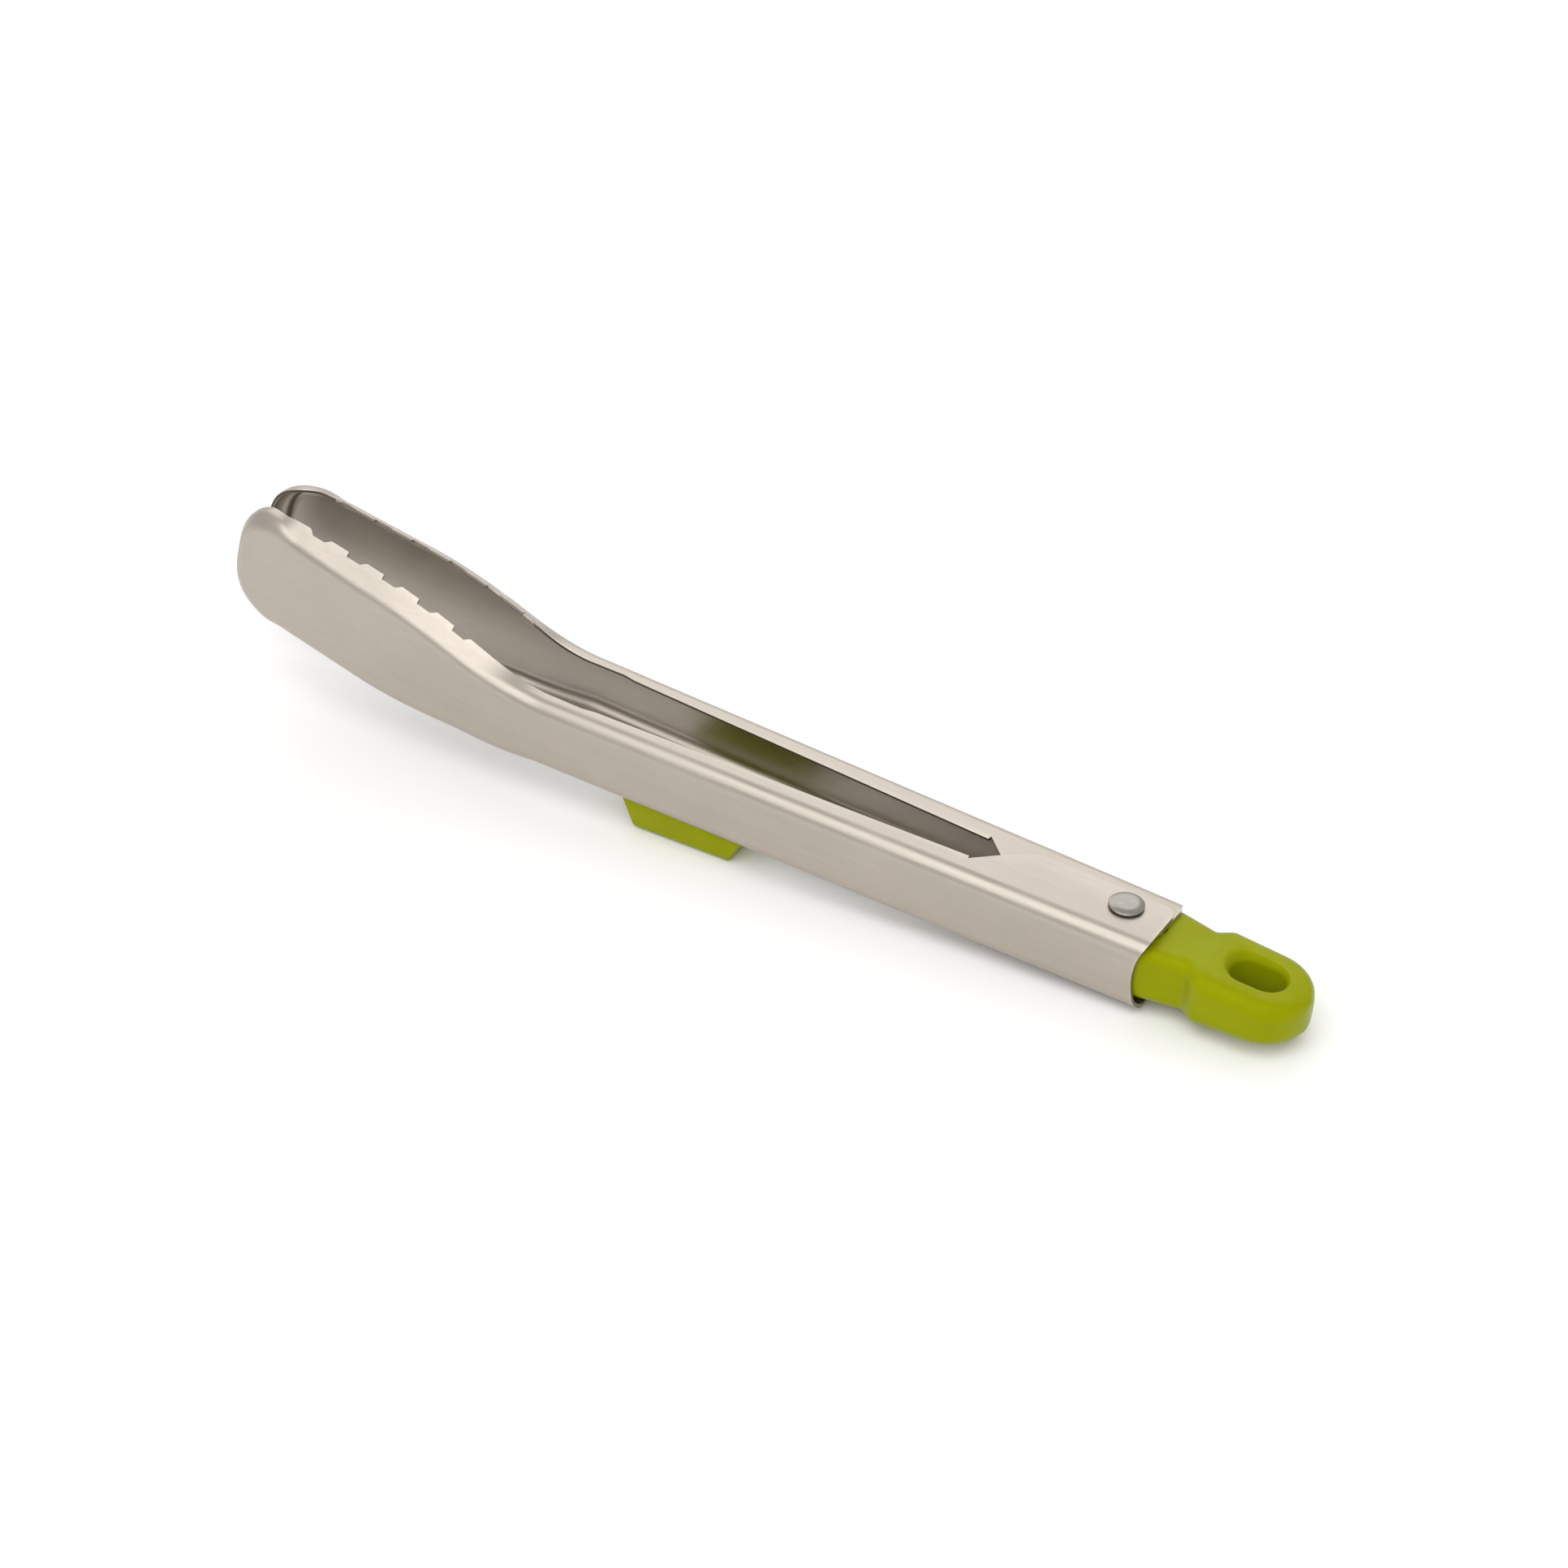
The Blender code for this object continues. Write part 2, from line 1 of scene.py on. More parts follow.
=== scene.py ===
"""Looks of the spring loaded kitchen tongs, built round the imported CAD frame.

Shapes are worked out in the tongs' own frame in millimetres, as in the CAD: X along the tongs from
the pivot (heads at -X), Y across the arms, Z along the pivot. place() turns them into the frame.
"""

import json
import math

import bmesh
import bpy
import numpy as np
from mathutils import Matrix, Vector


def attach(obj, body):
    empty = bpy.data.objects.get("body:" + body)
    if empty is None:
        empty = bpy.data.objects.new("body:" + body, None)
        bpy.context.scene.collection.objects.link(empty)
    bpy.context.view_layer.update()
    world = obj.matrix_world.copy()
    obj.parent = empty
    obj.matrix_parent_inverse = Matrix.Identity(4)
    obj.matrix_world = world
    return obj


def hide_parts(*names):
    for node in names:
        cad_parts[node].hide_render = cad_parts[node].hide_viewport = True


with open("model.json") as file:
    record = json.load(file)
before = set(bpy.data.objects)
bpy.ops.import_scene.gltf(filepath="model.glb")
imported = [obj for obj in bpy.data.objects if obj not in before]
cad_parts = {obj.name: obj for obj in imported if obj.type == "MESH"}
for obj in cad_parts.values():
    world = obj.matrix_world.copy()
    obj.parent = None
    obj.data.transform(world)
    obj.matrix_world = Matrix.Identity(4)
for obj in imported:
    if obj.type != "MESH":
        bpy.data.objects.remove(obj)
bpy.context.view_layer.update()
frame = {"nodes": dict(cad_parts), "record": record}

MM = 0.001
SHEET = 1.0
GAP = 0.3
HALF_HEIGHT = 11.4
HALF_WIDTH = 13.8
SPREAD = 0.018
HANDLE_BEND = 4.5
REAR_END = 12.5
CANT = math.radians(10.0)
CANT_START = 184.0
CANT_LENGTH = 20.0
HEAD_START = 180.0
HEAD_FULL = 242.0
HEAD_HALF_HEIGHT = 20.0
HEAD_RISE_POWER = 1.3
HEAD_WALL_START = 176.0
HEAD_WALL_END = 208.0
NOSE_START = 264.0
NOSE_END = 292.0
NOSE_POWER = 3.0
NOSE_WEB = 5.0
NOSE_WEB_START = 190.0
NOSE_WEB_POWER = 2.2
NOSE_WALL_START = 270.0
NOSE_WALL_END = 285.0
HEAD_BEND = 4.0
HEAD_WALL = math.radians(55.0)
NOSE_BEND = 5.5
NOSE_WALL = math.radians(90.0)
TIP_HALF_GAP = 5.4
TOOTH_PITCH = 13.05
TOOTH_CREST = 6.1
TOOTH_RAMP = 2.4
TOOTH_DROP = 0.25
TOOTH_DEPTH = 1.2
FIRST_NOTCH = 5.6
# Number of teeth, and the distance along the arm where the first crest starts.
NEAR_TEETH = (5, 215.7)
FAR_TEETH = (6, 206.1)
# Distance along the arm, and the distance of the sheet's cut edge from the middle of the tongs.
FLANGE_EDGE = (
    (-12.5, -3.0), (-11.9, -4.9), (-10.9, -5.9), (-9.0, -6.5), (24.0, -6.5), (28.0, -6.3), (31.5, -5.1),
    (38.1, 0.0), (45.2, 6.7), (45.4, 5.6), (100.0, 7.8), (164.0, 10.4), (168.0, 11.1), (184.0, 11.0),
    (206.0, 10.8), (231.0, 10.0), (256.0, 8.7), (275.0, 8.0),
)
TIP_CLOSE_START = 276.0
TIP_CLOSE_END = 286.0
EDGE_SOFTNESS = 0.16
HOLE_RADIUS = 2.8
FAR_INSET = SHEET + GAP
INSET_START = 186.0
INSET_END = 212.0
RECESS_DEPTH = 2.7
RECESS_HALF_HEIGHT = 11.2
RECESS_ACROSS = (9.0, 16.0)
FAR_OUT = 20.0
# Where the sheet's cut edges are painted darker as painted shade and made duller. In metres from the middle
# of the tongs, as the shader sees it.
CUT_EDGE_REACH = (0.0112, 0.0115)
CUT_EDGE_FACING = (0.72, 0.85)

pivot_joint = [j for j in frame["record"]["behaviour"]["joints"] if j["name"] == "arm_open"][0]
PIVOT = Vector(pivot_joint["pos_m"])
UP = -Vector(pivot_joint["axis"]).normalized()
ACROSS = Vector((0.0, 1.0, 0.0))
ALONG = ACROSS.cross(UP).normalized()


def place(x, y, z):
    """A point of the tongs' own frame, in millimetres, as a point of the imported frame."""
    return PIVOT + MM * (x * ALONG + y * ACROSS + z * UP)


def ease(value, start, end):
    """0 up to start and 1 from end, with a soft step between."""
    t = min(max((value - start) / (end - start), 0.0), 1.0)
    return t * t * (3.0 - 2.0 * t)


# ---------------------------------------------------------------- node helpers


class Nodes:
    """Short ways to build a node material."""

    def __init__(self, name):
        self.material = bpy.data.materials.new(name)
        self.material.use_nodes = True
        self.tree = self.material.node_tree
        self.shader = self.tree.nodes["Principled BSDF"]

    def add(self, kind, **values):
        node = self.tree.nodes.new(kind)
        for key, value in values.items():
            setattr(node, key, value)
        return node

    def link(self, out, into):
        self.tree.links.new(out, into)

    def coordinates(self, scale):
        """Points in metres along the tongs' own axes, stretched by scale."""
        source = self.add("ShaderNodeTexCoord")
        turn = self.add("ShaderNodeMapping", vector_type="POINT")
        tilt = math.atan2(-ALONG.z, ALONG.x)
        turn.inputs["Rotation"].default_value = (0.0, -tilt, 0.0)
        self.link(source.outputs["Object"], turn.inputs["Vector"])
        stretch = self.add("ShaderNodeVectorMath", operation="MULTIPLY")
        stretch.inputs[1].default_value = scale
        self.link(turn.outputs["Vector"], stretch.inputs[0])
        return stretch.outputs["Vector"]

    def noise(self, scale, detail=3.0, rough=0.55):
        """Noise with scale grains to the metre along, across and up the tongs."""
        node = self.add("ShaderNodeTexNoise", noise_dimensions="3D")
        node.inputs["Scale"].default_value = 1.0
        node.inputs["Detail"].default_value = detail
        node.inputs["Roughness"].default_value = rough
        self.link(self.coordinates(scale), node.inputs["Vector"])
        return node.outputs["Fac"]

    def ramp(self, factor, low, high, start=0.3, end=0.7):
        """Maps a factor between start and end to a value between low and high."""
        node = self.add("ShaderNodeMapRange", clamp=True)
        node.inputs["From Min"].default_value = start
        node.inputs["From Max"].default_value = end
        node.inputs["To Min"].default_value = low
        node.inputs["To Max"].default_value = high
        self.link(factor, node.inputs["Value"])
        return node.outputs["Result"]

    def mix(self, factor, first, second):
        node = self.add("ShaderNodeMix", data_type="RGBA")
        self.link(factor, node.inputs["Factor"])
        for socket, value in ((node.inputs["A"], first), (node.inputs["B"], second)):
            if isinstance(value, tuple):
                socket.default_value = (*value, 1.0)
            else:
                self.link(value, socket)
        return node.outputs["Result"]

    def maths(self, operation, first, second):
        node = self.add("ShaderNodeMath", operation=operation)
        for socket, value in zip(node.inputs, (first, second)):
            if isinstance(value, float):
                socket.default_value = value
            else:
                self.link(value, socket)
        return node.outputs["Value"]

    def dull_and_shaded_cut_edges(self):
        """1 on the cut edges of the sheet, which face across the tongs close to its middle, where they get
        painted shade and a duller finish.
        """
        source = self.add("ShaderNodeTexCoord")
        facing = self.add("ShaderNodeSeparateXYZ")
        self.link(source.outputs["Normal"], facing.inputs[0])
        where = self.add("ShaderNodeSeparateXYZ")
        self.link(source.outputs["Object"], where.inputs[0])
        across = self.maths("ABSOLUTE", facing.outputs["Y"], 0.0)
        from_middle = self.maths("ABSOLUTE", where.outputs["Y"], 0.0)
        faces_across = self.ramp(across, 0.0, 1.0, *CUT_EDGE_FACING)
        near_middle = self.ramp(from_middle, 1.0, 0.0, *CUT_EDGE_REACH)
        return self.maths("MULTIPLY", faces_across, near_middle)

    def wear(self):
        """0 on faces and 1 on raised edges."""
        node = self.add("ShaderNodeNewGeometry")
        return self.ramp(node.outputs["Pointiness"], 0.0, 1.0, 0.52, 0.6)

    def bump(self, height, distance):
        node = self.add("ShaderNodeBump")
        node.inputs["Strength"].default_value = 1.0
        node.inputs["Distance"].default_value = distance
        self.link(height, node.inputs["Height"])
        return node.outputs["Normal"]


WORN_GAIN = 1.12
CUT_EDGE_ROUGHER = 0.25


def brushed_steel(name, dark, light, smooth, rough, grain=0.000012, cut_edge_shade=None):
    """Steel with a fine grain along the tongs, soft blotches and brighter worn edges.

    A colour for the cut edges paints shade on them, darker than the steel, and they are also made duller.
    """
    n = Nodes(name)
    lines = n.noise((16.0, 900.0, 900.0), detail=4.0, rough=0.7)
    fine = n.noise((60.0, 4200.0, 4200.0), detail=2.0, rough=0.6)
    blotch = n.noise((38.0, 60.0, 60.0))
    tone = n.maths("ADD", n.ramp(lines, -0.16, 0.16, 0.3, 0.7), n.ramp(blotch, 0.3, 0.7, 0.3, 0.7))
    colour = n.mix(tone, dark, light)
    worn = tuple(WORN_GAIN * channel for channel in light)
    colour = n.mix(n.wear(), colour, worn)
    spread = n.maths("ADD", n.ramp(fine, -0.035, 0.035, 0.3, 0.7), n.ramp(blotch, smooth, rough, 0.3, 0.7))
    # Painted shade: the cut edges take a dark colour for the shadow along the sheet's edges; their added
    # roughness is a real duller finish.
    if cut_edge_shade is not None:
        dull_and_shaded_cut_edges = n.dull_and_shaded_cut_edges()
        colour = n.mix(dull_and_shaded_cut_edges, colour, cut_edge_shade)
        spread = n.maths("ADD", spread, n.maths("MULTIPLY", dull_and_shaded_cut_edges, CUT_EDGE_ROUGHER))
    n.link(colour, n.shader.inputs["Base Color"])
    n.link(spread, n.shader.inputs["Roughness"])
    n.shader.inputs["Metallic"].default_value = 1.0
    height = n.maths("ADD", lines, fine)
    n.link(n.bump(height, grain), n.shader.inputs["Normal"])
    return n.material


def green_plastic(name):
    """Satin moulded plastic: a very fine texture, soft mottling and slightly rubbed edges."""
    n = Nodes(name)
    mottle = n.noise((70.0, 70.0, 70.0))
    pores = n.noise((3000.0, 3000.0, 3000.0), detail=2.0)
    dark, light, rubbed = (0.235, 0.26, 0.0001), (0.26, 0.287, 0.0002), (0.37, 0.405, 0.012)
    colour = n.mix(n.ramp(mottle, 0.0, 1.0), dark, light)
    edges = n.ramp(n.wear(), 0.0, 0.35, 0.0, 1.0)
    n.link(n.mix(edges, colour, rubbed), n.shader.inputs["Base Color"])
    n.link(n.ramp(pores, 0.29, 0.37), n.shader.inputs["Roughness"])
    n.shader.inputs["IOR"].default_value = 1.49
    n.shader.inputs["Specular IOR Level"].default_value = 0.2
    n.shader.inputs["Specular Tint"].default_value = (1.0, 1.0, 0.12, 1.0)
    n.link(n.bump(pores, 0.00001), n.shader.inputs["Normal"])
    return n.material


def nylon(name):
    """Off-white plastic with a matt, slightly mottled face."""
    n = Nodes(name)
    mottle = n.noise((300.0, 300.0, 300.0))
    colour = n.mix(n.ramp(mottle, 0.0, 1.0), (0.72, 0.7, 0.64), (0.8, 0.78, 0.73))
    n.link(colour, n.shader.inputs["Base Color"])
    n.link(n.ramp(mottle, 0.42, 0.52), n.shader.inputs["Roughness"])
    n.link(n.bump(mottle, 0.00001), n.shader.inputs["Normal"])
    return n.material


# The last colour of the arm steel is painted shade for the sheet's cut edges.
ARM_STEEL = brushed_steel(
    "arm_steel", (0.41, 0.368, 0.319), (0.5, 0.452, 0.397), 0.33, 0.43, cut_edge_shade=(0.16, 0.14, 0.115),
)
RIVET_STEEL = brushed_steel("rivet_steel", (0.27, 0.252, 0.23), (0.34, 0.32, 0.295), 0.24, 0.32, 0.000006)
SPRING_STEEL = brushed_steel("spring_steel", (0.36, 0.35, 0.34), (0.44, 0.43, 0.42), 0.25, 0.34)
GREEN = green_plastic("green_plastic")
NYLON = nylon("nylon")


# ---------------------------------------------------------------- mesh helpers


def mesh_object(name, points, faces, material, smooth_angle=40.0):
    """A closed object from points in the tongs' own frame, its faces pointing out."""
    mesh = bpy.data.meshes.new(name)
    mesh.from_pydata([tuple(place(*p)) for p in points], [], faces)
    bm = bmesh.new()
    bm.from_mesh(mesh)
    bmesh.ops.remove_doubles(bm, verts=bm.verts, dist=1e-7)
    bmesh.ops.recalc_face_normals(bm, faces=bm.faces)
    bm.to_mesh(mesh)
    bm.free()
    mesh.materials.append(material)
    thing = bpy.data.objects.new(name, mesh)
    bpy.context.scene.collection.objects.link(thing)
    smooth(thing, smooth_angle)
    return thing


def smooth(thing, angle):
    """Shades a thing smooth, with edges sharper than an angle in degrees left sharp."""
    thing.data.shade_smooth()
    thing.data.set_sharp_from_angle(angle=math.radians(angle))


def apply_modifiers(thing):
    """Replaces the thing's mesh by the mesh its modifiers make."""
    graph = bpy.context.evaluated_depsgraph_get()
    mesh = bpy.data.meshes.new_from_object(thing.evaluated_get(graph))
    thing.modifiers.clear()
    thing.data = mesh


def cut(thing, cutters, angle):
    """Takes the cutters away from a thing and removes them."""
    for cutter in cutters:
        modifier = thing.modifiers.new(cutter.name, "BOOLEAN")
        modifier.operation = "DIFFERENCE"
        modifier.solver = "EXACT"
        modifier.object = cutter
    apply_modifiers(thing)
    for cutter in cutters:
        bpy.data.objects.remove(cutter, do_unlink=True)
    smooth(thing, angle)


def loft(name, rings, material, smooth_angle=40.0):
    """A closed solid through rings that all have the same number of points."""
    count = len(rings[0])
    points = [p for ring in rings for p in ring]
    faces = [tuple(range(count))]
    for i in range(len(rings) - 1):
        for j in range(count):
            k = (j + 1) % count
            faces.append((i * count + j, i * count + k, (i + 1) * count + k, (i + 1) * count + j))
    faces.append(tuple((len(rings) - 1) * count + j for j in range(count)))
    return mesh_object(name, points, faces, material, smooth_angle)


def turned(name, profile, material, segments=96):
    """A solid turned about the pivot line, from (radius, height) points."""
    points = []
    rows = []
    for radius, height in profile:
        row = []
        for j in range(segments):
            angle = 2.0 * math.pi * j / segments
            row.append(len(points))
            points.append((radius * math.cos(angle), radius * math.sin(angle), height))
        rows.append(row)
    faces = []
    for low, high in zip(rows, rows[1:]):
        for j in range(segments):
            k = (j + 1) % segments
            faces.append((low[j], low[k], high[k], high[j]))
    faces.append(tuple(rows[0]))
    faces.append(tuple(rows[-1]))
    return mesh_object(name, points, faces, material)


# ---------------------------------------------------------------- arms


def centre_line(s):
    """X, Z and slope of an arm's centre line at the distance s from the pivot."""
    radius = CANT_LENGTH / CANT
    bent = min(max(s - CANT_START, 0.0), CANT_LENGTH)
    angle = bent / radius
    x = -(min(s, CANT_START) + radius * math.sin(angle))
    z = radius * (1.0 - math.cos(angle))
    past = max(s - CANT_START - CANT_LENGTH, 0.0)
    return x - past * math.cos(CANT), z + past * math.sin(CANT), angle


def half_height(s, inset):
    """Half of an arm's height at s. The far arm is lower by inset where it nests in the near arm."""
    t = min(max((s - HEAD_START) / (HEAD_FULL - HEAD_START), 0.0), 1.0)
    rise = math.sin(0.5 * math.pi * t) ** HEAD_RISE_POWER
    nested = inset * (1.0 - ease(s, INSET_START, INSET_END))
    return HALF_HEIGHT + (HEAD_HALF_HEIGHT - HALF_HEIGHT) * rise - nested


def web_offset(s):
    """Distance of an arm's outer side from the middle of the tongs."""
    closing = max(s - NOSE_WEB_START, 0.0) / (NOSE_END - NOSE_WEB_START)
    return HALF_WIDTH + SPREAD * min(s, HEAD_START) - NOSE_WEB * closing**NOSE_WEB_POWER


def tooth(s, teeth):
    """0 on a tooth's crest and 1 in a notch, with a ramp towards the nose and a step towards the pivot."""
    count, first = teeth
    place_in_row = (s - first) / TOOTH_PITCH
    if place_in_row < -0.5 or place_in_row > count - 0.5:
        return 0.0
    along = (s - first) % TOOTH_PITCH
    if place_in_row < 0.0:
        along = max(along, TOOTH_CREST + TOOTH_RAMP) if along > TOOTH_PITCH - FIRST_NOTCH else 0.0
    if along < TOOTH_CREST:
        return 0.0
    if along < TOOTH_CREST + TOOTH_RAMP:
        return ease(along, TOOTH_CREST, TOOTH_CREST + TOOTH_RAMP)
    return 0.0 if along > TOOTH_PITCH - 0.5 * TOOTH_DROP else 1.0


def rim_edge(s):
    """Distance of the sheet's cut edge from the middle of the tongs."""
    edge = float(np.interp(s, [p[0] for p in FLANGE_EDGE], [p[1] for p in FLANGE_EDGE]))
    return edge + (TIP_HALF_GAP - edge) * ease(s, TIP_CLOSE_START, TIP_CLOSE_END)


def arm_stations(teeth):
    """Distances along an arm for its rows: corners of flange and teeth, and an even spread between."""
    count, first = teeth
    last = NOSE_START - 0.3
    corners = {s for s, _ in FLANGE_EDGE}
    for i in range(count):
        crest = first + i * TOOTH_PITCH
        corners |= {crest - TOOTH_DROP, crest}
        corners |= {crest + TOOTH_CREST + TOOTH_RAMP * k / 6.0 for k in range(7)}
    corners = [s for s in corners if s < last]
    spread = [5.0 + 12.0 * k for k in range(15)] + [176.0 + 1.6 * k for k in range(55)]
    spread = [s for s in spread if s < last and min(abs(s - corner) for corner in corners) > 0.35]
    return sorted(corners + spread)


def arm_outline(teeth, inset, nose_steps=44):
    """Upper outline of an arm's side from rear to nose: distance, height and outward direction."""
    outline = []
    for s in arm_stations(teeth):
        slope = half_height(s + 0.5, inset) - half_height(s - 0.5, inset)
        outline.append((s, half_height(s, inset), Vector((-slope, 1.0)).normalized()))
    length = NOSE_END - NOSE_START
    for i in range(nose_steps + 1):
        angle = 0.5 * math.pi * i / nose_steps
        along = math.sin(angle) ** (2.0 / NOSE_POWER)
        up = math.cos(angle) ** (2.0 / NOSE_POWER) if i < nose_steps else 0.0
        grow = Vector((along ** (NOSE_POWER - 1.0) / length, up ** (NOSE_POWER - 1.0) / HEAD_HALF_HEIGHT))
        outline.append((NOSE_START + length * along, HEAD_HALF_HEIGHT * up, grow.normalized()))
    return outline


def wall_profile(s, depth, notch, arc_steps=12):
    """Outer and inner section of the wall from the web to its rounded cut edge."""
    head = ease(s, HEAD_WALL_START, HEAD_WALL_END)
    nose = ease(s, NOSE_WALL_START, NOSE_WALL_END)
    turn = 0.5 * math.pi + (HEAD_WALL - 0.5 * math.pi) * head + (NOSE_WALL - HEAD_WALL) * nose
    radius = HANDLE_BEND + (HEAD_BEND - HANDLE_BEND) * head + (NOSE_BEND - HEAD_BEND) * nose
    straight = (depth - radius * (1.0 - math.cos(turn))) / math.sin(turn)
    start = -radius
    if turn < 0.5 * math.pi:
        start = -(radius * math.sin(turn) + straight * math.cos(turn))
    straight -= notch / math.sin(turn)
    outer = []
    inner = []
    for i in range(arc_steps + 1):
        phi = turn * i / arc_steps
        outer.append((start + radius * math.sin(phi), radius * (1.0 - math.cos(phi))))
        inner.append((start + (radius - SHEET) * math.sin(phi), radius - (radius - SHEET) * math.cos(phi)))
    bend_out, bend_in = outer[-1]
    edge = ((0.5 * straight, 0.0), (straight - EDGE_SOFTNESS, 0.0), (straight, EDGE_SOFTNESS))
    for reach, shaved in edge:
        for section, depth_in in ((outer, shaved), (inner, SHEET - shaved)):
            section.append((
                bend_out + reach * math.cos(turn) - depth_in * math.sin(turn),
                bend_in + reach * math.sin(turn) + depth_in * math.cos(turn),
            ))
    return outer, inner


def arm_cutters(name, side):
    """The rivet hole and the shallow curved recess in the rear edge of an arm's side."""
    hole = turned(name + "_hole", [(HOLE_RADIUS, -FAR_OUT), (HOLE_RADIUS, FAR_OUT)], ARM_STEEL, 64)
    radius = (RECESS_HALF_HEIGHT**2 + RECESS_DEPTH**2) / (2.0 * RECESS_DEPTH)
    centre = REAR_END - RECESS_DEPTH + radius
    angles = [2.0 * math.pi * j / 128 for j in range(128)]
    rings = [
        [(centre + radius * math.cos(a), side * y, radius * math.sin(a)) for a in angles]
        for y in RECESS_ACROSS
    ]
    return [hole, loft(name + "_recess", rings, ARM_STEEL)]


def arm_object(name, side, teeth, inset, web_parts=(0.015, 0.2, 0.4, 0.6, 0.8, 0.985)):
    """One pressed arm, with the same shape as its CAD solid and a finer mesh."""
    upper = arm_outline(teeth, inset)
    rows = [(s, v, out, 1.0) for s, v, out in upper]
    rows += [(s, v, out, -1.0) for s, v, out in reversed(upper[:-1])]
    points = []

    def add_point(along, height, inward):
        x, z, angle = centre_line(along)
        points.append((
            x + height * math.sin(angle),
            side * (web_offset(along) - inward),
            z + height * math.cos(angle),
        ))
        return len(points) - 1

    grids = ([], [])
    creases = ([], [])
    for s, v, outward, sign in rows:
        profile = wall_profile(s, web_offset(s) - rim_edge(s), TOOTH_DEPTH * tooth(s, teeth))
        for grid, crease, section in zip(grids, creases, profile):
            grid.append([
                add_point(s + out * outward[0], sign * (v + out * outward[1]), inward)
                for out, inward in section
            ])
            out, inward = section[0]
            crease.append((s + out * outward[0], sign * (v + out * outward[1]), inward))
    faces = []
    last = len(rows) - 1
    webs = []
    for grid, crease in zip(grids, creases):
        for low, high in zip(grid, grid[1:]):
            for j in range(len(low) - 1):
                faces.append((low[j], low[j + 1], high[j + 1], high[j]))
        web = []
        for i in range(len(upper)):
            top = crease[i]
            bottom = crease[last - i]
            row = [grid[i][0]]
            if i < len(upper) - 1:
                for part in web_parts:
                    row.append(add_point(top[0], top[1] + (bottom[1] - top[1]) * part, top[2]))
                row.append(grid[last - i][0])
            web.append(row)
        for low, high in zip(web, web[1:]):
            if len(high) == 1:
                faces += [(low[j], low[j + 1], high[0]) for j in range(len(low) - 1)]
            else:
                faces += [(low[j], low[j + 1], high[j + 1], high[j]) for j in range(len(low) - 1)]
        webs.append(web)
    outer, inner = grids
    for i in range(last):
        faces.append((outer[i][-1], inner[i][-1], inner[i + 1][-1], outer[i + 1][-1]))
    for end in (0, last):
        for j in range(len(outer[end]) - 1):
            faces.append((outer[end][j], outer[end][j + 1], inner[end][j + 1], inner[end][j]))
    for j in range(len(webs[0][0]) - 1):
        faces.append((webs[0][0][j], webs[1][0][j], webs[1][0][j + 1], webs[0][0][j + 1]))
    arm = mesh_object(name, points, faces, ARM_STEEL)
    cut(arm, arm_cutters(name, side), 38.0)
    return arm


near_arm = arm_object("near_arm_skin", -1.0, NEAR_TEETH, 0.0)
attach(near_arm, "near_arm")
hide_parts("near_arm")
far_arm = arm_object("far_arm_skin", 1.0, FAR_TEETH, FAR_INSET)
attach(far_arm, "far_arm")
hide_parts("far_arm")


# ---------------------------------------------------------------- lock pull

PULL_FRONT = -12.0
PULL_WALL_FRONT = 2.0
MOUTH = 11.0
WAIST = 22.7
STEP_START = 23.6
STEP_END = 27.2
LOOP_CENTRE = 42.8
LOOP_RADIUS = 13.4
MOUTH_HALF_WIDTH = 12.1
WAIST_HALF_WIDTH = 10.0
NECK_HALF_HEIGHT = 8.6
WAIST_HALF_HEIGHT = 8.4
LOOP_HALF_HEIGHT = 8.5
LOOP_END_HALF_HEIGHT = 6.6
LOOP_END_RINGS = 40
LOOP_END_EDGE = 4.6
LOOP_END_POWER = 3.4
FORK_HALF_WIDTH = 9.4
CAVITY_HALF_WIDTH = 10.4
CAVITY_HALF_HEIGHT = 4.9
CAVITY_END = 15.2
SLOT_HALF_WIDTH = 4.05
SLOT_CENTRE = 8.6
HOLE_CENTRE = 40.3
HANG_HOLE = (7.9, 5.3)
HOLE_FLARE = ((5.4, 0.0), (5.9, 0.1), (6.4, 0.35), (7.6, 1.25), (8.1, 1.75), (8.5, 2.5), (9.6, 5.5))


def pull_width(x):
    """Half of the pull's width at x, before its round end."""
    inside = MOUTH_HALF_WIDTH + 0.4
    stations = [PULL_FRONT, PULL_WALL_FRONT, MOUTH, WAIST, STEP_START]
    widths = [inside, inside, MOUTH_HALF_WIDTH, WAIST_HALF_WIDTH, WAIST_HALF_WIDTH]
    neck = float(np.interp(x, stations, widths))
    return neck + (LOOP_RADIUS - neck) * ease(x, STEP_START - 0.9, STEP_END + 1.1)


def pull_height(x):
    """Half of the pull's height at x."""
    neck = float(np.interp(x, [MOUTH, WAIST], [NECK_HALF_HEIGHT, WAIST_HALF_HEIGHT]))
    end = LOOP_CENTRE + LOOP_RADIUS
    loop = float(np.interp(x, [STEP_END, end], [LOOP_HALF_HEIGHT, LOOP_END_HALF_HEIGHT]))
    return neck + (loop - neck) * ease(x, WAIST - 2.0, STEP_END + 3.0)


def pull_radius(x):
    """Radius of the pull's long edges at x."""
    return 3.5 + 1.1 * ease(x, STEP_START - 2.0, STEP_END)


def rounded_section(x, half_width, half_height_z, radius, steps=12):
    """A rounded rectangle across the pull at x, with extra points on its flats."""
    radius = min(radius, 0.98 * half_width, 0.98 * half_height_z)
    corners = []
    for cy, cz, start in ((1, 1, 0.0), (-1, 1, 0.5), (-1, -1, 1.0), (1, -1, 1.5)):
        corner = []
        for j in range(steps + 1):
            angle = math.pi * (start + 0.5 * j / steps)
            y = cy * (half_width - radius) + radius * math.cos(angle)
            z = cz * (half_height_z - radius) + radius * math.sin(angle)
            corner.append((x, y, z))
        corners.append(corner)
    ring = []
    for corner, after in zip(corners, corners[1:] + corners[:1]):
        ring += corner
        for part in (0.04, 0.35, 0.65, 0.96):
            ring.append(tuple(a + (b - a) * part for a, b in zip(corner[-1], after[0])))
    return ring


